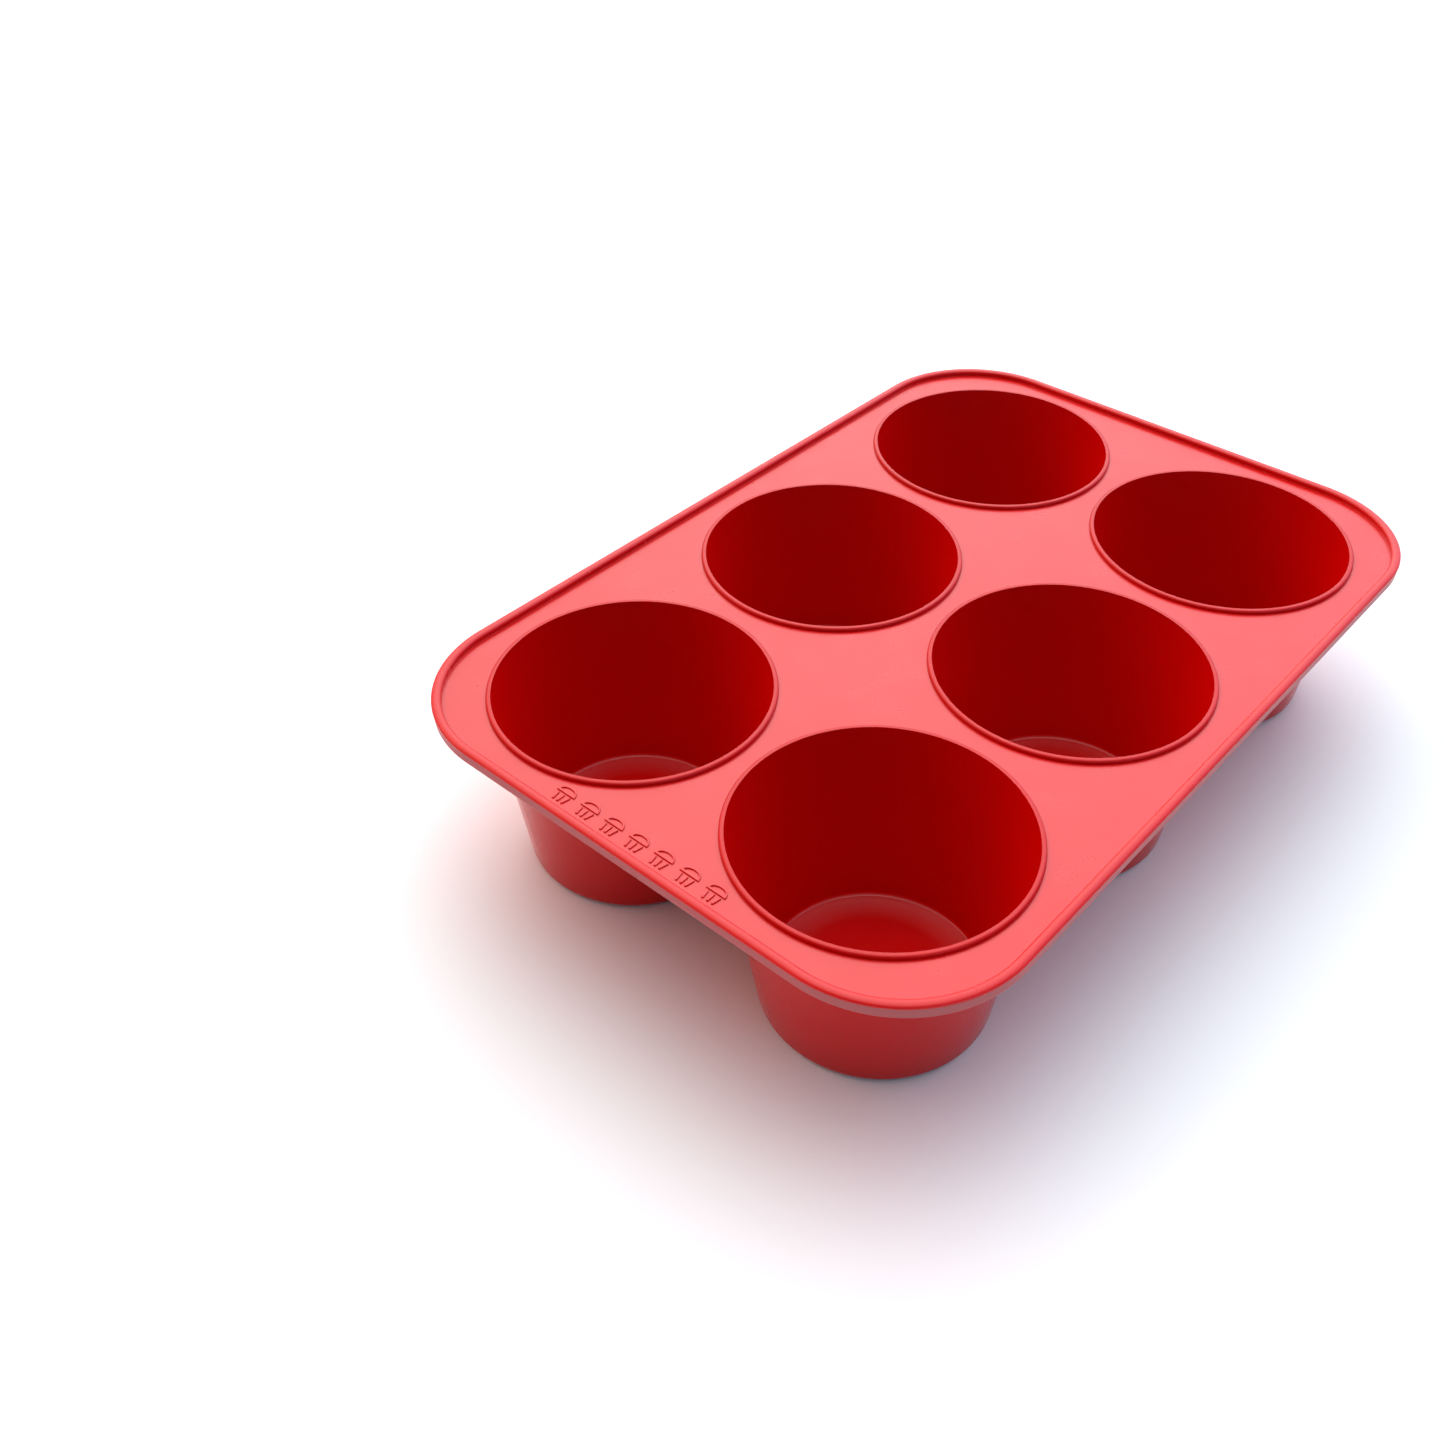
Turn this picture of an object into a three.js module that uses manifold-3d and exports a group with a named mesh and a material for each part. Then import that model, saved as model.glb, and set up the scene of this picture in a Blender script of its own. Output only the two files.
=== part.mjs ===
// A six-cup jumbo muffin tin moulded in red silicone: a flat deck, a raised bead round its
// edge and six deep tapered cups, each with a raised lip that sits on the deck.
// Millimetres, +Z up. The origin is on the surface that the pan stands on, under its middle.
// The long side lies along X, and the end that carries the row of raised marks is -X.

import * as THREE from "three";
import { mergeVertices } from "three/addons/utils/BufferGeometryUtils.js";
import Module from "manifold-3d";

const wasm = await Module();
wasm.setup();

// ---------------------------------------------------------------- driving dimensions

const COLUMNS = ["left", "middle", "right"]; // cups along X
const ROWS = ["front", "back"]; // cups along Y
const COLUMN_PITCH = 100;
const ROW_PITCH = 98.5;

const LIP_TOP = 61; // height of the lips above the surface that the pan stands on
const LIP_HEIGHT = 1.35; // how far a lip stands above the deck
const DECK_THICKNESS = 2.4;
const DECK_INSET = 0.5; // the deck's lower edge lies this far inside the bead's outer face
const DECK_DRAFT = 0.6; // the deck's edge leans inwards by this much towards its top

const PAN_LENGTH = 313.5;
const PAN_WIDTH = 213.5;
const CORNER_RADIUS = 43;

const MOUTH_RADIUS = 44.5;
const LIP_RADIUS = 46.1;
const LIP_EDGE = 0.5; // chamfer on the lip's outer top edge
const NECK_RADIUS = 45.2; // outer radius of a cup where it passes through the deck
const FOOT_RADIUS = 34.6; // outer wall's radius, carried down to the foot plane
const FOOT_FILLET = 3.6;
const WELL_RADIUS = 33.2; // inner wall's radius, carried down to the floor
const WELL_FILLET = 1.6;
const FLOOR_RIM = 3.8; // height of the well's dished floor at its rim
const FLOOR_MIDDLE = 2.55;
const DISH_FLAT_RADIUS = 24.5; // the floor is level inside this radius
const FIT_GAP = 0.3; // between a cup's neck and the hole that it hangs in

const BEAD_HEIGHT = 2.2;
const BEAD_WIDTH = 3.2;
const BEAD_DOME = 0.9; // height of the domed top
const BEAD_OVERHANG_DEPTH = 0.25; // straight part of the outer face below the dome

const MARK_COUNT = 7;
const MARK_PITCH = 9.8;
const MARK_CENTRE_X = -147.9;
const MARK_RELIEF = 0.4; // how far the marks stand above the deck

const ARC_STEPS = 48; // steps in a full circle of a cup
const CORNER_STEPS = 12; // steps in one corner of the pan's outline
const BEAD_DOME_STEPS = 8;
const FOOT_FILLET_STEPS = 3;
const WELL_FILLET_STEPS = 2;
const MARK_DOME_STEPS = 10;

// ---------------------------------------------------------------- derived dimensions

const DECK_TOP = LIP_TOP - LIP_HEIGHT;
const DECK_BOTTOM = DECK_TOP - DECK_THICKNESS;
const HOLE_RADIUS = NECK_RADIUS + FIT_GAP;

const RED = 0xcc0304;

function silicone(roughness) {
  return new THREE.MeshStandardMaterial({ color: RED, roughness, metalness: 0 });
}

// ---------------------------------------------------------------- outlines

// The pan's rounded outline, moved inwards by inset, as points counter-clockwise from above.
function outlinePoints(inset) {
  const radius = CORNER_RADIUS - inset;
  const reachX = PAN_LENGTH / 2 - CORNER_RADIUS;
  const reachY = PAN_WIDTH / 2 - CORNER_RADIUS;
  const corners = [[1, 1], [-1, 1], [-1, -1], [1, -1]];
  const points = [];
  corners.forEach(([signX, signY], quarter) => {
    for (let step = 0; step <= CORNER_STEPS; step += 1) {
      const angle = (Math.PI / 2) * (quarter + step / CORNER_STEPS);
      const x = signX * reachX + radius * Math.cos(angle);
      const y = signY * reachY + radius * Math.sin(angle);
      points.push(new THREE.Vector2(x, y));
    }
  });
  return points;
}

function circlePoints(centreX, centreY, radius) {
  const points = [];
  for (let step = 0; step < ARC_STEPS; step += 1) {
    const angle = (2 * Math.PI * step) / ARC_STEPS;
    const x = centreX + radius * Math.cos(angle);
    const y = centreY + radius * Math.sin(angle);
    points.push(new THREE.Vector2(x, y));
  }
  return points;
}

// Points on an arc about (centreU, centreV), from one angle to another, both ends included.
function arcPoints(centreU, centreV, radius, fromAngle, toAngle, steps) {
  const points = [];
  for (let step = 0; step <= steps; step += 1) {
    const angle = fromAngle + ((toAngle - fromAngle) * step) / steps;
    const u = centreU + radius * Math.cos(angle);
    const v = centreV + radius * Math.sin(angle);
    points.push(new THREE.Vector2(u, v));
  }
  return points;
}

// ---------------------------------------------------------------- solids

function toSolid(geometry) {
  const bare = geometry.clone();
  bare.deleteAttribute("normal");
  bare.deleteAttribute("uv");
  const merged = mergeVertices(bare, 1e-4);
  const vertProperties = new Float32Array(merged.attributes.position.array);
  const triVerts = new Uint32Array(merged.index.array);
  return new wasm.Manifold(new wasm.Mesh({ numProp: 3, vertProperties, triVerts }));
}

function toGeometry(solid) {
  const mesh = solid.getMesh();
  const geometry = new THREE.BufferGeometry();
  geometry.setAttribute("position", new THREE.BufferAttribute(mesh.vertProperties, 3));
  geometry.setIndex(new THREE.BufferAttribute(mesh.triVerts, 1));
  geometry.computeVertexNormals();
  return geometry;
}

// A closed ring whose section is carried round the pan's outline. The section is a list of
// [inset from the outline, height] points, counter-clockwise when it is seen along the rim
// with the outside of the pan on the right.
function rimRing(section) {
  const loops = section.map(([inset, height]) =>
    outlinePoints(inset).map((point) => [point.x, point.y, height]),
  );
  const around = loops[0].length;
  const index = [];
  for (let k = 0; k < loops.length; k += 1) {
    const nextLoop = (k + 1) % loops.length;
    for (let i = 0; i < around; i += 1) {
      const nextPoint = (i + 1) % around;
      const a = k * around + i;
      const b = k * around + nextPoint;
      const c = nextLoop * around + nextPoint;
      const d = nextLoop * around + i;
      index.push(a, b, c, a, c, d);
    }
  }
  const geometry = new THREE.BufferGeometry();
  geometry.setAttribute("position", new THREE.Float32BufferAttribute(loops.flat(2), 3));
  geometry.setIndex(index);
  geometry.computeVertexNormals();
  return geometry;
}

// ---------------------------------------------------------------- deck

// One small muffin picture in fine lines: the outline of a domed top, over a wrapper of three
// leaning bars. It is drawn upright in XY about the middle of the picture.
function muffinShapes() {
  const line = 0.85; // width of every line
  const domeHalfWidth = 3.5;
  const domeHeight = 3.2;
  const domeBase = 0.2;
  const barTop = -0.2;
  const barBottom = -3.4;
  const barPitchTop = 2.3;
  const barPitchBottom = 1.7;

  const domePoints = (inset) => {
    const arc = arcPoints(0, 0, 1, 0, Math.PI, MARK_DOME_STEPS);
    return arc.map((point) => {
      const x = point.x * (domeHalfWidth - inset);
      const y = domeBase + inset + point.y * (domeHeight - 2 * inset);
      return new THREE.Vector2(x, y);
    });
  };
  const dome = new THREE.Shape(domePoints(0));
  dome.holes.push(new THREE.Path(domePoints(line)));

  const bars = [-1, 0, 1].map((side) => {
    const bar = new THREE.Shape();
    bar.moveTo(side * barPitchBottom - line / 2, barBottom);
    bar.lineTo(side * barPitchBottom + line / 2, barBottom);
    bar.lineTo(side * barPitchTop + line / 2, barTop);
    bar.lineTo(side * barPitchTop - line / 2, barTop);
    bar.closePath();
    return bar;
  });
  return [dome, ...bars];
}

// What is cut away from a slab with an upright edge to make the edge lean inwards.
function edgeWasteGeometry() {
  const clear = 1; // how far the cut reaches past the slab
  const lean = DECK_DRAFT / DECK_THICKNESS;
  return rimRing([
    [DECK_INSET - clear, DECK_BOTTOM],
    [DECK_INSET - clear, DECK_TOP + clear],
    [DECK_INSET + lean * (DECK_THICKNESS + clear), DECK_TOP + clear],
    [DECK_INSET, DECK_BOTTOM],
  ]);
}

// The slab with its six round holes, and the row of raised marks along its -X end. The marks
// read from outside that end, so their upright direction is +X.
function deckGeometry() {
  const plate = new THREE.Shape(outlinePoints(DECK_INSET));
  for (const centre of cupCentres()) {
    plate.holes.push(new THREE.Path(circlePoints(centre.x, centre.y, HOLE_RADIUS)));
  }
  const slab = new THREE.ExtrudeGeometry(plate, { depth: DECK_THICKNESS, bevelEnabled: false });
  slab.translate(0, 0, DECK_BOTTOM);
  let deck = toSolid(slab).subtract(toSolid(edgeWasteGeometry()));

  const sunk = 1; // each mark starts this far inside the slab
  for (let number = 0; number < MARK_COUNT; number += 1) {
    const y = (number - (MARK_COUNT - 1) / 2) * MARK_PITCH;
    for (const shape of muffinShapes()) {
      const mark = new THREE.ExtrudeGeometry(shape, {
        depth: sunk + MARK_RELIEF,
        bevelEnabled: false,
      });
      mark.rotateZ(-Math.PI / 2);
      mark.translate(MARK_CENTRE_X, y, DECK_TOP - sunk);
      deck = deck.add(toSolid(mark));
    }
  }
  return toGeometry(deck);
}

// ---------------------------------------------------------------- rim bead

// The bead stands on the deck, flush with its edge at the foot. Above that it overhangs out to
// the pan's outline, and its top is a flattened dome that runs down to an upright inner face.
function beadGeometry() {
  const foot = DECK_TOP;
  const shoulder = foot + BEAD_HEIGHT - BEAD_DOME;
  const overhang = shoulder - BEAD_OVERHANG_DEPTH;
  const half = BEAD_WIDTH / 2;
  const dome = arcPoints(0, 0, 1, Math.PI, 0, BEAD_DOME_STEPS);
  const stem = DECK_INSET + DECK_DRAFT;
  const section = [
    [stem, foot],
    [stem, overhang],
    [0, overhang],
    ...dome.map((point) => [half + half * point.x, shoulder + BEAD_DOME * point.y]),
    [BEAD_WIDTH, foot],
  ];
  return rimRing(section);
}

// ---------------------------------------------------------------- cups

function cupCentres() {
  const centres = [];
  ROWS.forEach((row, rowNumber) => {
    COLUMNS.forEach((column, columnNumber) => {
      const x = (columnNumber - (COLUMNS.length - 1) / 2) * COLUMN_PITCH;
      const y = (rowNumber - (ROWS.length - 1) / 2) * ROW_PITCH;
      centres.push({ name: `cup_${row}_${column}`, x, y });
    });
  });
  return centres;
}

// Points of the rounded corner between a level line at height level and a straight wall that
// passes through (footRadius, level) and (topRadius, topHeight), ordered from the level line
// to the wall.
function wallFillet(level, footRadius, topRadius, topHeight, fillet, steps) {
  const lean = Math.atan2(topRadius - footRadius, topHeight - level);
  const centreRadius = footRadius - fillet * Math.tan(Math.PI / 4 - lean / 2);
  return arcPoints(centreRadius, level + fillet, fillet, -Math.PI / 2, -lean, steps);
}

// One cup: a thin tapered shell with a flat foot and a dished floor, whose lip rests on the deck.
function cupGeometry() {
  const outerFillet = wallFillet(
    0, FOOT_RADIUS, NECK_RADIUS, DECK_BOTTOM, FOOT_FILLET, FOOT_FILLET_STEPS,
  );
  const innerFillet = wallFillet(
    FLOOR_RIM, WELL_RADIUS, MOUTH_RADIUS, LIP_TOP, WELL_FILLET, WELL_FILLET_STEPS,
  );
  const profile = [
    new THREE.Vector2(0, 0),
    ...outerFillet,
    new THREE.Vector2(NECK_RADIUS, DECK_BOTTOM),
    new THREE.Vector2(NECK_RADIUS, DECK_TOP),
    new THREE.Vector2(LIP_RADIUS, DECK_TOP),
    new THREE.Vector2(LIP_RADIUS, LIP_TOP - LIP_EDGE),
    new THREE.Vector2(LIP_RADIUS - LIP_EDGE, LIP_TOP),
    new THREE.Vector2(MOUTH_RADIUS, LIP_TOP),
    ...innerFillet.reverse(),
    new THREE.Vector2(DISH_FLAT_RADIUS, FLOOR_MIDDLE),
    new THREE.Vector2(0, FLOOR_MIDDLE),
  ];
  const cup = new THREE.LatheGeometry(profile, ARC_STEPS);
  cup.rotateX(Math.PI / 2);
  return cup;
}

// ---------------------------------------------------------------- assembly

const pan = new THREE.Group();
pan.name = "muffin_tin";

const deck = new THREE.Mesh(deckGeometry(), silicone(0.32));
deck.name = "deck";
pan.add(deck);

const bead = new THREE.Mesh(beadGeometry(), silicone(0.28));
bead.name = "rim_bead";
pan.add(bead);

for (const centre of cupCentres()) {
  const cup = new THREE.Mesh(cupGeometry(), silicone(0.3));
  cup.name = centre.name;
  cup.position.set(centre.x, centre.y, 0);
  pan.add(cup);
}

export default pan;
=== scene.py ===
"""The looks of a six-cup jumbo muffin tin moulded in red silicone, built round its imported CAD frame.

The deck is one slab with six holes. A bead runs round its edge and six tapered cups hang in the
holes. All pieces are one moulding, so the silicone's grain runs on from one piece to the next.
Metres, +Z up. The pan stands on z = 0 with its long side along X.
"""

import math

import bmesh
import bpy
from mathutils import Matrix, Vector


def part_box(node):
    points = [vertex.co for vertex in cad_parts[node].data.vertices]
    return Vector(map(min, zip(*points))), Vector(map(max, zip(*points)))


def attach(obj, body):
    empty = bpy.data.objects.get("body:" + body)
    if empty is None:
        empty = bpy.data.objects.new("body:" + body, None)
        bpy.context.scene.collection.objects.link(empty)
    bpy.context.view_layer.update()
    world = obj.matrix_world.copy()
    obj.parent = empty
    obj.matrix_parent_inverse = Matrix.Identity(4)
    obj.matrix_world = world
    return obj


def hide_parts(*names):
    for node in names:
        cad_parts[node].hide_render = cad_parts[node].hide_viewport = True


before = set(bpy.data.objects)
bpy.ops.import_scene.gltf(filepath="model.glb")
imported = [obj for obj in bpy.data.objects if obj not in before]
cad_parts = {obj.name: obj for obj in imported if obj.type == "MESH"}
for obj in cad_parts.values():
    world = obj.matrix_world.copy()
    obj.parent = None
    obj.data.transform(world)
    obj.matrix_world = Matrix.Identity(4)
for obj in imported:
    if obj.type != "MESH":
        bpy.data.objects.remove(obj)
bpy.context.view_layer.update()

MM = 0.001

# ---------------------------------------------------------------- what the frame says

CUP_NAMES = [
    f"cup_{row}_{column}" for row in ("front", "back") for column in ("left", "middle", "right")
]

bead_low, bead_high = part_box("rim_bead")
deck_low, deck_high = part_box("deck")
cup_low, cup_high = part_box(CUP_NAMES[0])

DECK_TOP = bead_low.z
DECK_BOTTOM = deck_low.z
LIP_TOP = cup_high.z
LIP_RADIUS = (cup_high.x - cup_low.x) / 2
HALF_LENGTH = bead_high.x
HALF_WIDTH = bead_high.y
DECK_INSET = HALF_LENGTH - deck_high.x
BEAD_HEIGHT = bead_high.z - bead_low.z

# ---------------------------------------------------------------- the moulding's own dimensions

CORNER_RADIUS = 43 * MM
DECK_DRAFT = 0.6 * MM  # the slab's edge leans inwards by this much towards its top
DECK_BOTTOM_ROUNDING = 0.3 * MM

LIP_WIDTH = 1.6 * MM
LIP_OUTER_ROUNDING = 0.8 * MM
LIP_INNER_ROUNDING = 0.15 * MM
LIP_ROOT_FILLET = 0.06 * MM
NECK_INSET = 0.9 * MM  # the neck's radius is this much less than the lip's
NECK_CLEARANCE = 0.02 * MM  # between a neck and the deck's hole
NECK_FILLET = 1.6 * MM  # under the deck
FOOT_RADIUS = 34.6 * MM  # outer wall's radius, carried down to the foot plane
FOOT_FILLET = 3.6 * MM
FOOT_RING_SHARES = (0.1, 0.3, 0.6)  # rings of points on the flat foot, as shares of its radius
WELL_RADIUS = 33.2 * MM  # inner wall's radius, carried down to the floor
WELL_FILLET = 1.6 * MM
FLOOR_RIM = 3.8 * MM  # height of the well's dished floor at its rim
DISH_FLAT = 24 * MM  # the floor is level inside this radius
DISH_SLOPE = 13.5  # degrees, at the floor's rim
DISH_STEPS = 60

BEAD_WIDTH = 3.2 * MM
BEAD_DOME = 0.9 * MM  # height of the bead's domed top
BEAD_EDGE = 0.12 * MM  # rounding under the bead's outer edge
BEAD_FACE = 0.25 * MM  # upright part of the bead's outer face
BEAD_ROOT_FILLET = 0.15 * MM

MARK_COUNT = 7
MARK_PITCH = 9.8 * MM
MARK_CENTRE_INSET = 8.85 * MM  # from the pan's -X end
MARK_SUNK = 0.2 * MM  # how far a mark reaches into the deck
MARK_LINE = 0.85 * MM
MARK_ROUNDING = 0.2 * MM
DOME_HALF_WIDTH = 3.5 * MM
DOME_HEIGHT = 3.2 * MM
DOME_BASE = 0.2 * MM
BAR_TOP = -0.2 * MM
BAR_BOTTOM = -3.4 * MM
BAR_PITCH_TOP = 2.3 * MM
BAR_PITCH_BOTTOM = 1.7 * MM
BAR_CORNER_SHARE = 0.4  # a bar's corner radius, as a share of the line's width

CUP_STEPS = 192
CORNER_STEPS = 48
ROUNDING_STEPS = 8
SMALL_ROUNDING_STEPS = 4
BEAD_DOME_STEPS = 24
MARK_DOME_STEPS = 20
SHARP_ANGLE = 40  # degrees between faces, above which an edge is shaded sharp
AREA_WEIGHT = 100  # the weighted normals go by the faces' areas alone

# ---------------------------------------------------------------- finish settings, with painted shade and a painted reflection

DECK_RED = (0.59, 0.0006, 0.0008)
# painted shade: the cups are the same silicone as the deck, given a darker red for the shade inside
# and around them
CUP_SHADED_RED = (0.51, 0.0005, 0.0006)
EDGE_REFLECTION_RED = (0.46, 0.075, 0.077)  # painted reflection: the slab's upright edge is paler and duller, for the white floor reflected in it
UPRIGHT_LIMIT = 0.5  # a face counts as upright when its normal rises or falls by less than this
EDGE_CLEARANCE = 0.01 * MM  # the edge's painted reflection stops this far below the deck's top

SILICONE_IOR = 1.5
NOISE_LOW = 0.3  # nearly all of a noise texture's values lie between these two
NOISE_HIGH = 0.7
TONE_SIZE = 38 * MM  # of the slow changes of tone
TONE_RANGE = (0.96, 1.03)
GLOSS_SIZE = 11 * MM  # of the changes of roughness
GLOSS_SPREAD = 0.03
WAVE_SIZE = 30 * MM
WAVE_HEIGHT = 0.0144 * MM
GRAIN_SIZE = 1.8 * MM
GRAIN_HEIGHT = 0.00144 * MM

# ---------------------------------------------------------------- stage and camera settings

CAMERA_EYE = Vector((-0.39681, -0.25939, 0.39803))
CAMERA_YAW = math.radians(48.576)  # from +Y towards +X
CAMERA_PITCH = math.radians(27.566)  # below the horizon
CAMERA_LENS = 42.25
CAMERA_SENSOR = 36
CAMERA_SHIFT_X = -0.0151
CAMERA_SHIFT_Y = -0.2486
CAMERA_NEAREST = 0.01
CAMERA_FARTHEST = 100

FLOOR_WHITE = (0.85, 0.85, 0.85)
FLOOR_ROUGHNESS = 0.9
FLOOR_SPECULAR = 0.1
STAGE_RADIUS = 12
STAGE_STEPS = 96
BACKDROP_STEPS = 24
BACKDROP_TOP = 88  # degrees up to which the dome is built in rings, before its flat cap

LOBE_SHARPNESS = 8  # a lobe falls as the exponential of this times (cosine - 1)
# Each lobe of light: azimuth from straight ahead of the camera (left is positive), elevation,
# both in degrees, and colour.
LIGHT_LOBES = [
    (90, 12, (0.9, 0.5, 0.45)),
    (135, 12, (0.1, 0.2, 0.2)),
    (180, 12, (0.1, 0.2, 0.2)),
    (225, 12, (0.3, 0.9, 1.3)),
    (-45, 12, (0.8, 0.7, 0.8)),
    (0, 36, (2.3, 2.95, 3.0)),
    (60, 40, (2.5, 1.3, 1.05)),
    (-60, 40, (1.7, 1.3, 1.8)),
    (0, 68, (1.3, 1.4, 1.4)),
    (0, 90, (1.2, 1.7, 1.72)),
]


# ---------------------------------------------------------------- outlines and profiles

def arc(centre_u, centre_v, radius, from_degrees, to_degrees, steps=ROUNDING_STEPS):
    """Points on an arc, both ends included."""
    points = []
    for step in range(steps + 1):
        angle = math.radians(from_degrees + (to_degrees - from_degrees) * step / steps)
        points.append((centre_u + radius * math.cos(angle), centre_v + radius * math.sin(angle)))
    return points


def pan_outline(inset):
    """The pan's rounded outline, moved inwards by inset, counter-clockwise from above."""
    reach_x = HALF_LENGTH - CORNER_RADIUS
    reach_y = HALF_WIDTH - CORNER_RADIUS
    points = []
    for quarter, (sign_x, sign_y) in enumerate([(1, 1), (-1, 1), (-1, -1), (1, -1)]):
        start = 90 * quarter
        points += arc(
            sign_x * reach_x,
            sign_y * reach_y,
            CORNER_RADIUS - inset,
            start,
            start + 90,
            CORNER_STEPS,
        )
    return points


def circle(centre_x, centre_y, radius, steps):
    """Points on a circle, counter-clockwise from above."""
    points = []
    for step in range(steps):
        angle = 2 * math.pi * step / steps
        points.append((centre_x + radius * math.cos(angle), centre_y + radius * math.sin(angle)))
    return points


# ---------------------------------------------------------------- meshes

def new_piece(name, mesh, material):
    """Makes the mesh a smooth-shaded piece of the pan."""
    mesh.shade_smooth()
    mesh.set_sharp_from_angle(angle=math.radians(SHARP_ANGLE))
    mesh.materials.append(material)
    piece = bpy.data.objects.new(name, mesh)
    bpy.context.scene.collection.objects.link(piece)
    weighted = piece.modifiers.new("flat_faces_stay_flat", "WEIGHTED_NORMAL")
    weighted.keep_sharp = True
    weighted.weight = AREA_WEIGHT
    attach(piece, "root")
    return piece


def lathe(name, centre, profile, steps):
    """A mesh turned round a vertical axis. The profile's ends lie on the axis."""
    vertices = [(centre.x, centre.y, profile[0][1])]
    for radius, height in profile[1:-1]:
        vertices += [(x, y, height) for x, y in circle(centre.x, centre.y, radius, steps)]
    vertices.append((centre.x, centre.y, profile[-1][1]))
    last = len(vertices) - 1
    faces = []
    for i in range(steps):
        j = (i + 1) % steps
        faces.append((0, 1 + j, 1 + i))
        for ring in range(len(profile) - 3):
            low = 1 + ring * steps
            high = low + steps
            faces.append((low + i, low + j, high + j, high + i))
        top = 1 + (len(profile) - 3) * steps
        faces.append((top + i, top + j, last))
    mesh = bpy.data.meshes.new(name)
    mesh.from_pydata(vertices, [], faces)
    mesh.validate()
    return mesh


def bridge(mesh, low, high):
    """A band of quads between two rings with as many vertices."""
    for i in range(len(low)):
        j = (i + 1) % len(low)
        mesh.faces.new((low[i], low[j], high[j], high[i]))


def loops_mesh(loops, closed):
    """A bmesh of bands between each loop of points and the next one, and its rings of vertices."""
    mesh = bmesh.new()
    rings = [[mesh.verts.new(point) for point in loop] for loop in loops]
    pairs = list(zip(rings, rings[1:]))
    if closed:
        pairs.append((rings[-1], rings[0]))
    for low, high in pairs:
        bridge(mesh, low, high)
    return mesh, rings


def ring_edges(mesh, ring):
    """The edges between a ring's neighbouring vertices."""
    edges = []
    for i in range(len(ring)):
        edges.append(mesh.edges.get((ring[i], ring[(i + 1) % len(ring)])))
    return edges


def finish_mesh(name, mesh):
    """Turns the bmesh into a mesh whose faces look outwards."""
    bmesh.ops.recalc_face_normals(mesh, faces=mesh.faces)
    made = bpy.data.meshes.new(name)
    mesh.to_mesh(made)
    mesh.free()
    return made


# ---------------------------------------------------------------- silicone

def silicone(name, red, painted_reflection_red, roughness, specular):
    """Glossy moulded silicone: red with slow changes of tone and gloss, a faint grain and waves.

    Upright faces below the deck's top take the second colour instead, without the changes of tone; on
    the deck it is a painted reflection of the white floor on the slab's edge.
    """
    material = bpy.data.materials.new(name)
    material.use_nodes = True
    nodes = material.node_tree.nodes
    links = material.node_tree.links
    shader = nodes["Principled BSDF"]
    place = nodes.new("ShaderNodeTexCoord").outputs["Object"]
    geometry = nodes.new("ShaderNodeNewGeometry")

    def noise(size, detail):
        texture = nodes.new("ShaderNodeTexNoise")
        texture.inputs["Scale"].default_value = 1 / size
        texture.inputs["Detail"].default_value = detail
        links.new(place, texture.inputs["Vector"])
        return texture.outputs["Fac"]

    def ranged(value, low, high):
        span = nodes.new("ShaderNodeMapRange")
        span.inputs["From Min"].default_value = NOISE_LOW
        span.inputs["From Max"].default_value = NOISE_HIGH
        span.inputs["To Min"].default_value = low
        span.inputs["To Max"].default_value = high
        links.new(value, span.inputs["Value"])
        return span.outputs["Result"]

    def bumped(value, distance, normal=None):
        relief = nodes.new("ShaderNodeBump")
        relief.inputs["Distance"].default_value = distance
        links.new(value, relief.inputs["Height"])
        if normal is not None:
            links.new(normal, relief.inputs["Normal"])
        return relief.outputs["Normal"]

    def vertical_part(vector):
        parts = nodes.new("ShaderNodeSeparateXYZ")
        links.new(vector, parts.inputs[0])
        return parts.outputs["Z"]

    def calculated(operation, value, number=None):
        node = nodes.new("ShaderNodeMath")
        node.operation = operation
        links.new(value, node.inputs[0])
        if number is not None:
            node.inputs[1].default_value = number
        return node.outputs[0]

    shade = nodes.new("ShaderNodeMix")
    shade.data_type = "RGBA"
    shade.blend_type = "MULTIPLY"
    shade.inputs["A"].default_value = (*red, 1)
    shade.inputs["Factor"].default_value = 1
    tone = nodes.new("ShaderNodeCombineColor")
    links.new(ranged(noise(TONE_SIZE, 2), *TONE_RANGE), tone.inputs["Red"])
    tone.inputs["Green"].default_value = 1
    tone.inputs["Blue"].default_value = 1
    links.new(tone.outputs["Color"], shade.inputs["B"])

    # painted reflection: upright faces below the deck's top get the second, paler colour, standing in
    # for the white floor reflected in the slab's edge
    level = calculated("ABSOLUTE", vertical_part(geometry.outputs["Normal"]))
    upright = calculated("LESS_THAN", level, UPRIGHT_LIMIT)
    height = vertical_part(geometry.outputs["Position"])
    painted_reflection_mask = nodes.new("ShaderNodeMath")
    painted_reflection_mask.operation = "MULTIPLY"
    links.new(upright, painted_reflection_mask.inputs[0])
    links.new(calculated("LESS_THAN", height, DECK_TOP - EDGE_CLEARANCE), painted_reflection_mask.inputs[1])
    painted_reflection_mix = nodes.new("ShaderNodeMix")
    painted_reflection_mix.data_type = "RGBA"
    links.new(painted_reflection_mask.outputs[0], painted_reflection_mix.inputs["Factor"])
    links.new(shade.outputs["Result"], painted_reflection_mix.inputs["A"])
    painted_reflection_mix.inputs["B"].default_value = (*painted_reflection_red, 1)
    links.new(painted_reflection_mix.outputs["Result"], shader.inputs["Base Color"])

    gloss = ranged(noise(GLOSS_SIZE, 4), roughness - GLOSS_SPREAD, roughness + GLOSS_SPREAD)
    links.new(gloss, shader.inputs["Roughness"])
    waves = bumped(noise(WAVE_SIZE, 1), WAVE_HEIGHT)
    grain = bumped(noise(GRAIN_SIZE, 1), GRAIN_HEIGHT, waves)
    links.new(grain, shader.inputs["Normal"])
    shader.inputs["IOR"].default_value = SILICONE_IOR
    shader.inputs["Specular IOR Level"].default_value = specular
    return material


# ---------------------------------------------------------------- pieces

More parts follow.
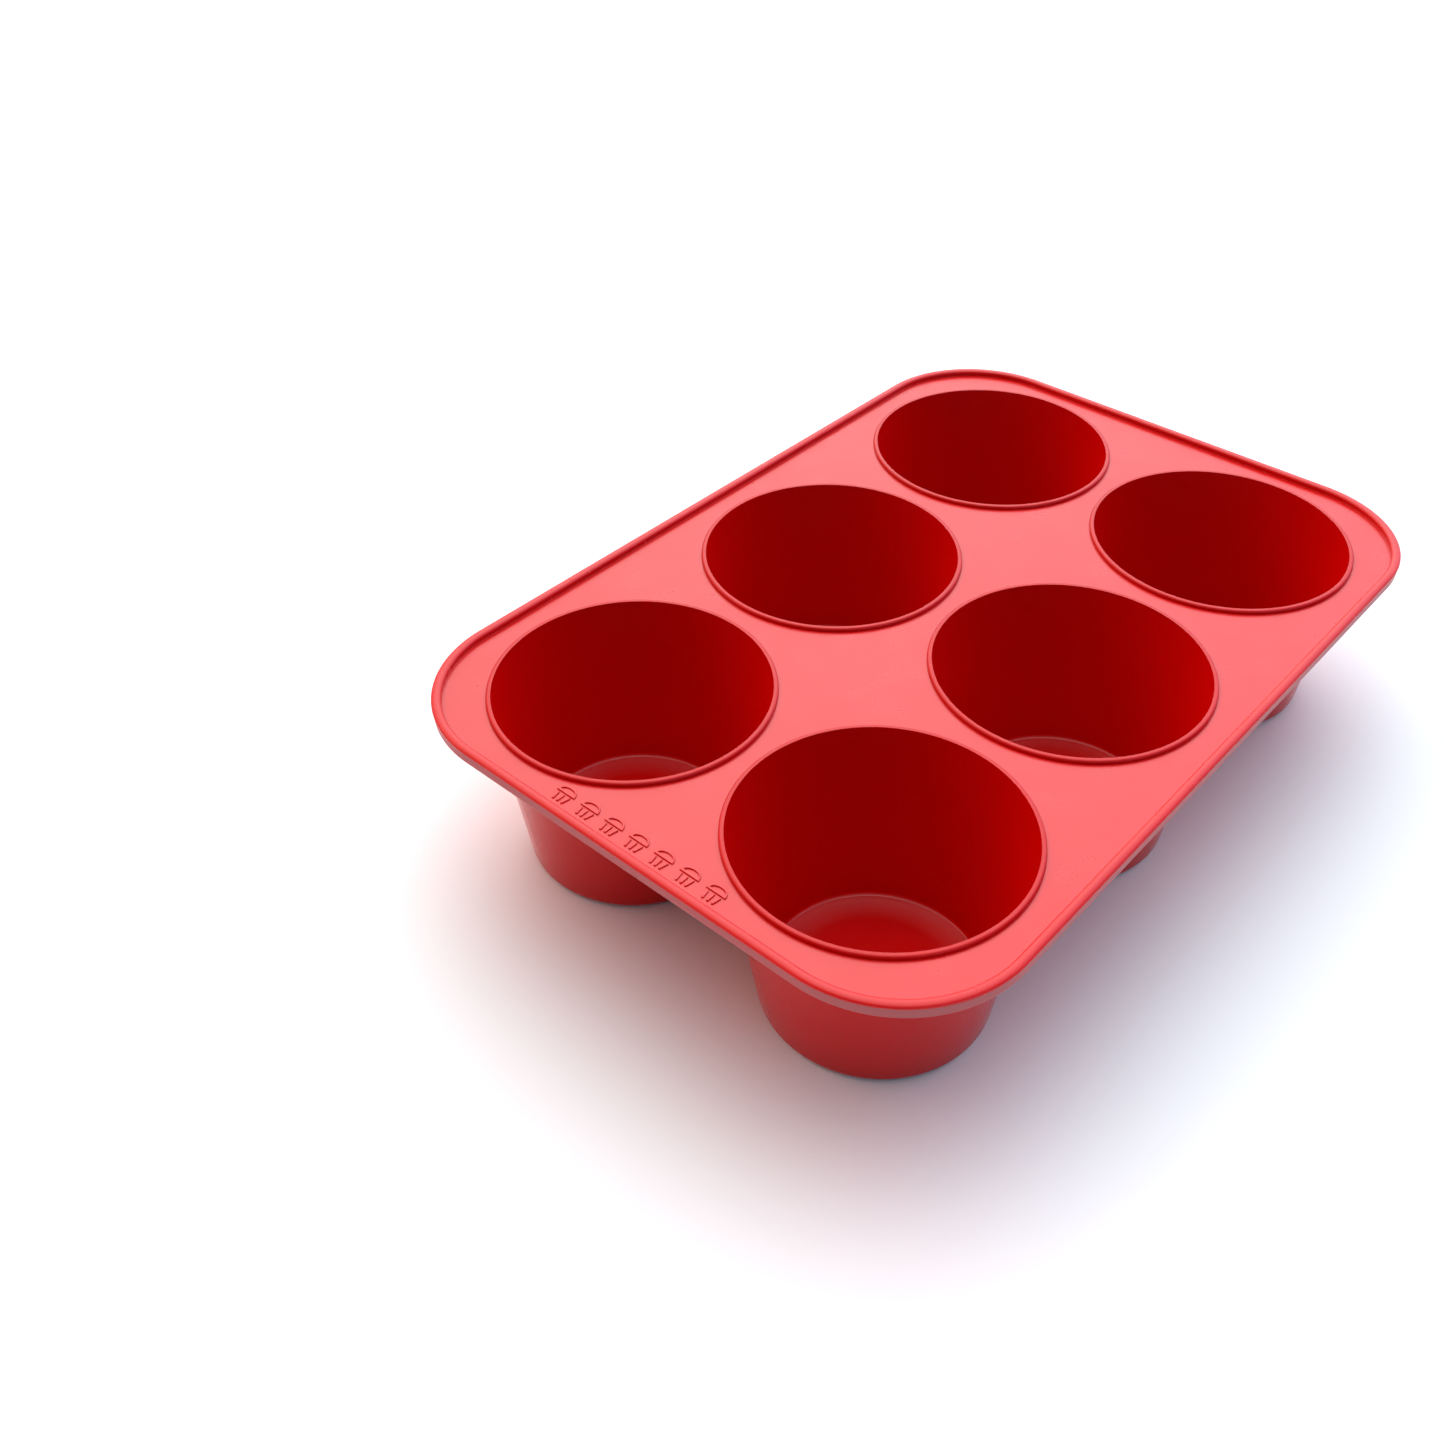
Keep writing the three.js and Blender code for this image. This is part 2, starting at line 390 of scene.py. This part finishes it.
def make_deck(material):
    """The slab with six holes. Its outer edge leans inwards towards the top and is rounded below."""
    edge = [(DECK_INSET + DECK_DRAFT, DECK_TOP)]
    edge += arc(
        DECK_INSET + DECK_BOTTOM_ROUNDING,
        DECK_BOTTOM + DECK_BOTTOM_ROUNDING,
        DECK_BOTTOM_ROUNDING,
        180,
        270,
    )
    loops = [[(x, y, height) for x, y in pan_outline(inset)] for inset, height in edge]
    mesh, rings = loops_mesh(loops, closed=False)
    top_edges = ring_edges(mesh, rings[0])
    bottom_edges = ring_edges(mesh, rings[-1])
    hole_radius = LIP_RADIUS - NECK_INSET + NECK_CLEARANCE
    for name in CUP_NAMES:
        centre = cup_centre(name)
        hole = circle(centre.x, centre.y, hole_radius, CUP_STEPS)
        low = [mesh.verts.new((x, y, DECK_BOTTOM)) for x, y in hole]
        high = [mesh.verts.new((x, y, DECK_TOP)) for x, y in hole]
        bridge(mesh, high, low)
        bottom_edges += ring_edges(mesh, low)
        top_edges += ring_edges(mesh, high)
    bmesh.ops.triangle_fill(mesh, use_beauty=True, edges=top_edges)
    bmesh.ops.triangle_fill(mesh, use_beauty=True, edges=bottom_edges)
    deck = new_piece("deck_slab", finish_mesh("deck_slab", mesh), material)
    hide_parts("deck")


def make_bead(material):
    """The bead on the deck's edge: a flattened dome over an upright outer face, which overhangs
    the stem, and a filleted inner foot."""
    crest = DECK_TOP + BEAD_HEIGHT
    shoulder = crest - BEAD_DOME
    half = BEAD_WIDTH / 2
    foot = DECK_INSET + DECK_DRAFT
    section = [(foot, DECK_TOP), (foot, shoulder - BEAD_FACE)]
    section += arc(
        BEAD_EDGE, shoulder - BEAD_FACE + BEAD_EDGE, BEAD_EDGE, 270, 180, SMALL_ROUNDING_STEPS
    )
    for u, v in arc(0, 0, 1, 180, 0, BEAD_DOME_STEPS):
        section.append((half + half * u, shoulder + BEAD_DOME * v))
    section += arc(
        BEAD_WIDTH + BEAD_ROOT_FILLET,
        DECK_TOP + BEAD_ROOT_FILLET,
        BEAD_ROOT_FILLET,
        180,
        270,
        SMALL_ROUNDING_STEPS,
    )
    loops = [[(x, y, height) for x, y in pan_outline(inset)] for inset, height in section]
    mesh, _ = loops_mesh(loops, closed=True)
    bead = new_piece("rim_bead_round", finish_mesh("rim_bead_round", mesh), material)
    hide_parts("rim_bead")


def cup_centre(name):
    low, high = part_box(name)
    return (low + high) / 2


def wall_fillet(level, foot_radius, lean, fillet):
    """The rounded corner between a level line and a wall that leans outwards, from below upwards."""
    centre_radius = foot_radius - fillet * math.tan(math.pi / 4 - lean / 2)
    return arc(centre_radius, level + fillet, fillet, -90, -math.degrees(lean))


def cup_profile():
    """Radius and height: from the foot's middle up the outside, over the lip and down to the floor."""
    neck = LIP_RADIUS - NECK_INSET
    mouth = LIP_RADIUS - LIP_WIDTH
    outer_lean = math.atan2(neck - FOOT_RADIUS, DECK_BOTTOM)
    inner_lean = math.atan2(mouth - WELL_RADIUS, LIP_TOP - FLOOR_RIM)

    profile = [(0, 0)]
    profile += [(FOOT_RADIUS * share, 0) for share in FOOT_RING_SHARES]
    profile += wall_fillet(0, FOOT_RADIUS, outer_lean, FOOT_FILLET)
    # The wall's top turns outwards to lie along the deck's underside.
    turn = NECK_FILLET * math.tan(math.pi / 4 - outer_lean / 2)
    wall_angle = 180 - math.degrees(outer_lean)
    profile += arc(neck + turn, DECK_BOTTOM - NECK_FILLET, NECK_FILLET, wall_angle, 90)
    profile += [(neck, DECK_BOTTOM), (neck, DECK_TOP)]
    profile += arc(
        LIP_RADIUS + LIP_ROOT_FILLET, DECK_TOP + LIP_ROOT_FILLET, LIP_ROOT_FILLET, 270, 180
    )
    profile += arc(
        LIP_RADIUS - LIP_OUTER_ROUNDING, LIP_TOP - LIP_OUTER_ROUNDING, LIP_OUTER_ROUNDING, 0, 90
    )
    profile += arc(
        mouth + LIP_INNER_ROUNDING, LIP_TOP - LIP_INNER_ROUNDING, LIP_INNER_ROUNDING, 90, 180
    )
    profile += list(reversed(wall_fillet(FLOOR_RIM, WELL_RADIUS, inner_lean, WELL_FILLET)))
    rim, height = profile[-1]
    step = rim / DISH_STEPS
    for number in range(1, DISH_STEPS):
        radius = rim - number * step
        outward = max((radius - DISH_FLAT) / (rim - DISH_FLAT), 0)
        height -= math.tan(math.radians(DISH_SLOPE * math.sqrt(outward))) * step
        profile.append((radius, height))
    profile.append((0, height))
    return profile


def make_cup(name, material):
    mesh = lathe(f"{name}_shell", cup_centre(name), cup_profile(), CUP_STEPS)
    cup = new_piece(f"{name}_shell", mesh, material)
    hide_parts(name)


# ---------------------------------------------------------------- raised marks

def offset(points, inset):
    """A counter-clockwise outline moved inwards, each corner along its mitre."""
    moved = []
    for i, point in enumerate(points):
        before = Vector(point) - Vector(points[i - 1])
        after = Vector(points[(i + 1) % len(points)]) - Vector(point)
        normal_before = Vector((-before.y, before.x)).normalized()
        normal_after = Vector((-after.y, after.x)).normalized()
        middle = (normal_before + normal_after).normalized()
        moved.append(Vector(point) + middle * (inset / middle.dot(normal_after)))
    return moved


def rounded(corners, radius):
    """A counter-clockwise convex outline with its corners rounded."""
    points = []
    for i, corner in enumerate(corners):
        corner = Vector(corner)
        back = (Vector(corners[i - 1]) - corner).normalized()
        ahead = (Vector(corners[(i + 1) % len(corners)]) - corner).normalized()
        half = back.angle(ahead) / 2
        centre = corner + (back + ahead).normalized() * (radius / math.sin(half))
        start = corner + back * (radius / math.tan(half)) - centre
        end = corner + ahead * (radius / math.tan(half)) - centre
        for step in range(SMALL_ROUNDING_STEPS + 1):
            direction = start.lerp(end, step / SMALL_ROUNDING_STEPS).normalized()
            points.append(centre + direction * radius)
    return points


def dome_outline(inset):
    """A half ellipse on a level base, drawn that much inside the picture's domed top."""
    half_width = DOME_HALF_WIDTH - inset
    height = DOME_HEIGHT - 2 * inset
    points = []
    for u, v in arc(0, 0, 1, 0, 180, MARK_DOME_STEPS):
        points.append(Vector((u * half_width, DOME_BASE + inset + v * height)))
    return points


def bar_outlines():
    """The three leaning bars of the wrapper, with rounded ends."""
    bars = []
    for side in (-1, 0, 1):
        low = side * BAR_PITCH_BOTTOM
        high = side * BAR_PITCH_TOP
        corners = [
            (low - MARK_LINE / 2, BAR_BOTTOM),
            (low + MARK_LINE / 2, BAR_BOTTOM),
            (high + MARK_LINE / 2, BAR_TOP),
            (high - MARK_LINE / 2, BAR_TOP),
        ]
        bars.append(rounded(corners, MARK_LINE * BAR_CORNER_SHARE))
    return bars


def make_marks(material):
    """A row of small muffins in fine raised lines along the deck's -X end, read from beyond it."""
    relief = deck_high.z - DECK_TOP
    levels = [(0, -MARK_SUNK)]
    for u, v in arc(0, 0, MARK_ROUNDING, 0, 90, SMALL_ROUNDING_STEPS):
        levels.append((MARK_ROUNDING - u, relief - MARK_ROUNDING + v))
    mesh = bmesh.new()

    def rings_of(outline, middle, outwards):
        rings = []
        for inset, height in levels:
            ring = []
            for point in offset(outline, -inset if outwards else inset):
                place = (middle.x + point.y, middle.y - point.x, DECK_TOP + height)
                ring.append(mesh.verts.new(place))
            rings.append(ring)
        return rings

    for number in range(MARK_COUNT):
        along = (number - (MARK_COUNT - 1) / 2) * MARK_PITCH
        middle = Vector((-HALF_LENGTH + MARK_CENTRE_INSET, along))
        for outline in bar_outlines():
            rings = rings_of(outline, middle, outwards=False)
            for low, high in zip(rings, rings[1:]):
                bridge(mesh, low, high)
            mesh.faces.new(list(reversed(rings[0])))
            mesh.faces.new(rings[-1])
        around = rings_of(dome_outline(0), middle, outwards=False)
        around += reversed(rings_of(dome_outline(MARK_LINE), middle, outwards=True))
        for low, high in zip(around, around[1:] + around[:1]):
            bridge(mesh, low, high)
    new_piece("deck_marks", finish_mesh("deck_marks", mesh), material)


# ---------------------------------------------------------------- stage, light and camera

def add_stage(name, mesh, material):
    mesh.materials.append(material)
    piece = bpy.data.objects.new(name, mesh)
    bpy.context.scene.collection.objects.link(piece)
    return piece


def make_floor():
    mesh = bpy.data.meshes.new("floor")
    points = [(x, y, 0) for x, y in circle(0, 0, STAGE_RADIUS, STAGE_STEPS)]
    mesh.from_pydata(points, [], [list(range(len(points)))])
    matt = bpy.data.materials.new("floor_white")
    matt.use_nodes = True
    shader = matt.node_tree.nodes["Principled BSDF"]
    shader.inputs["Base Color"].default_value = (*FLOOR_WHITE, 1)
    shader.inputs["Roughness"].default_value = FLOOR_ROUGHNESS
    shader.inputs["Specular IOR Level"].default_value = FLOOR_SPECULAR
    add_stage("floor", mesh, matt)


def make_backdrop():
    """A white dome behind everything. Only the camera sees it, so it lights nothing."""
    loops = []
    for radius, height in arc(0, 0, STAGE_RADIUS, 0, BACKDROP_TOP, BACKDROP_STEPS):
        loops.append([(x, y, height) for x, y in circle(0, 0, radius, STAGE_STEPS)])
    mesh, rings = loops_mesh(loops, closed=False)
    mesh.faces.new(rings[-1])
    glow = bpy.data.materials.new("backdrop_white")
    glow.use_nodes = True
    shader = glow.node_tree.nodes["Principled BSDF"]
    shader.inputs["Base Color"].default_value = (0, 0, 0, 1)
    shader.inputs["Specular IOR Level"].default_value = 0
    shader.inputs["Emission Color"].default_value = (1, 1, 1, 1)
    shader.inputs["Emission Strength"].default_value = 1
    backdrop = add_stage("backdrop", finish_mesh("backdrop", mesh), glow)
    backdrop.visible_diffuse = False
    backdrop.visible_glossy = False
    backdrop.visible_transmission = False
    backdrop.visible_volume_scatter = False
    backdrop.visible_shadow = False


def make_world():
    """Soft studio light from far away: wide lobes, strong from behind, warm from the left, cool from
    the right, and weak from the camera's side."""
    world = bpy.data.worlds.new("studio")
    bpy.context.scene.world = world
    world.use_nodes = True
    nodes = world.node_tree.nodes
    links = world.node_tree.links
    background = nodes["Background"]
    direction = nodes.new("ShaderNodeTexCoord").outputs["Generated"]
    total = None
    for azimuth, elevation, colour in LIGHT_LOBES:
        turn = math.pi / 2 - CAMERA_YAW + math.radians(azimuth)
        lift = math.radians(elevation)
        facing = nodes.new("ShaderNodeVectorMath")
        facing.operation = "DOT_PRODUCT"
        facing.inputs[1].default_value = (
            math.cos(turn) * math.cos(lift),
            math.sin(turn) * math.cos(lift),
            math.sin(lift),
        )
        links.new(direction, facing.inputs[0])
        fall = nodes.new("ShaderNodeMath")
        fall.operation = "MULTIPLY_ADD"
        fall.inputs[1].default_value = LOBE_SHARPNESS
        fall.inputs[2].default_value = -LOBE_SHARPNESS
        links.new(facing.outputs["Value"], fall.inputs[0])
        lobe = nodes.new("ShaderNodeMath")
        lobe.operation = "EXPONENT"
        links.new(fall.outputs[0], lobe.inputs[0])
        tinted = nodes.new("ShaderNodeVectorMath")
        tinted.operation = "SCALE"
        tinted.inputs[0].default_value = colour
        links.new(lobe.outputs[0], tinted.inputs["Scale"])
        if total is None:
            total = tinted.outputs[0]
        else:
            added = nodes.new("ShaderNodeVectorMath")
            added.operation = "ADD"
            links.new(total, added.inputs[0])
            links.new(tinted.outputs[0], added.inputs[1])
            total = added.outputs[0]
    links.new(total, background.inputs["Color"])


def make_camera():
    data = bpy.data.cameras.new("camera")
    data.sensor_width = CAMERA_SENSOR
    data.lens = CAMERA_LENS
    data.shift_x = CAMERA_SHIFT_X
    data.shift_y = CAMERA_SHIFT_Y
    data.clip_start = CAMERA_NEAREST
    data.clip_end = CAMERA_FARTHEST
    camera = bpy.data.objects.new("camera", data)
    bpy.context.scene.collection.objects.link(camera)
    level_turn = Matrix.Rotation(-CAMERA_YAW, 4, "Z")
    turn = level_turn @ Matrix.Rotation(math.pi / 2 - CAMERA_PITCH, 4, "X")
    camera.matrix_world = Matrix.Translation(CAMERA_EYE) @ turn
    bpy.context.scene.camera = camera


# ---------------------------------------------------------------- assembly

# The default view transform would dull this saturated red and grey the white floor.
bpy.context.scene.view_settings.view_transform = "Standard"

deck_material = silicone("deck_silicone", DECK_RED, EDGE_REFLECTION_RED, roughness=0.3, specular=0.47)
bead_material = silicone("bead_silicone", DECK_RED, DECK_RED, roughness=0.25, specular=0.35)
cup_material = silicone("cup_silicone", CUP_SHADED_RED, CUP_SHADED_RED, roughness=0.18, specular=0.25)

make_deck(deck_material)
make_marks(deck_material)
make_bead(bead_material)
for cup_name in CUP_NAMES:
    make_cup(cup_name, cup_material)

make_floor()
make_backdrop()
make_world()
make_camera()
